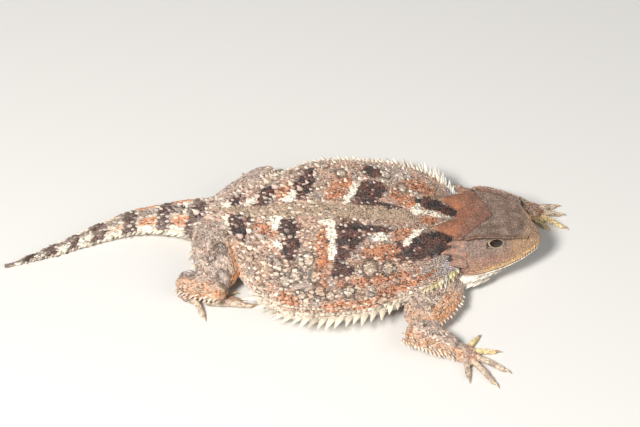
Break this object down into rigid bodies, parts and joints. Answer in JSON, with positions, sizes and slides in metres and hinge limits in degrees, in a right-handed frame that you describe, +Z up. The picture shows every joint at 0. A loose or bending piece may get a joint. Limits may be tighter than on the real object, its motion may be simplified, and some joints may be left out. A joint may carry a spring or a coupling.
{
  "type": "horned lizard figure",
  "caption": "Life-size short-horned lizard at rest, flat and wide, with stub horns, a fringe of spines along each flank and a short tail.",
  "frame": {"origin": "on the floor under the middle of the body, at the flat that the belly rests on", "axes": "+X towards the head, +Y to the animal's left, +Z up"},
  "size_m": [0.1382, 0.0729, 0.0178],
  "materials": {
    "hide": "dry scaly hide, blotched dark brown, white and orange",
    "head_hide": "finely granular, dull brown",
    "limb_hide": "dry scaly hide, greyish pink",
    "horn": "dull orange-brown horn",
    "eye": "wet gloss"
  },
  "bodies": {
    "root": {"head": "head_hide", "neck": "hide", "torso": "hide", "tail_base": "hide", "tail_mid": "hide", "tail_tip": "hide", "eye_l": "eye", "horn_occipital_l": "horn", "horn_temporal_upper_l": "horn", "horn_temporal_middle_l": "horn", "horn_temporal_lower_l": "horn", "upper_arm_l": "limb_hide", "forearm_l": "limb_hide", "hand_l": "limb_hide", "thigh_l": "limb_hide", "shank_l": "limb_hide", "foot_l": "limb_hide", "eye_r": "eye", "horn_occipital_r": "horn", "horn_temporal_upper_r": "horn", "horn_temporal_middle_r": "horn", "horn_temporal_lower_r": "horn", "upper_arm_r": "limb_hide", "forearm_r": "limb_hide", "hand_r": "limb_hide", "thigh_r": "limb_hide", "shank_r": "limb_hide", "foot_r": "limb_hide"}
  },
  "joints": []
}
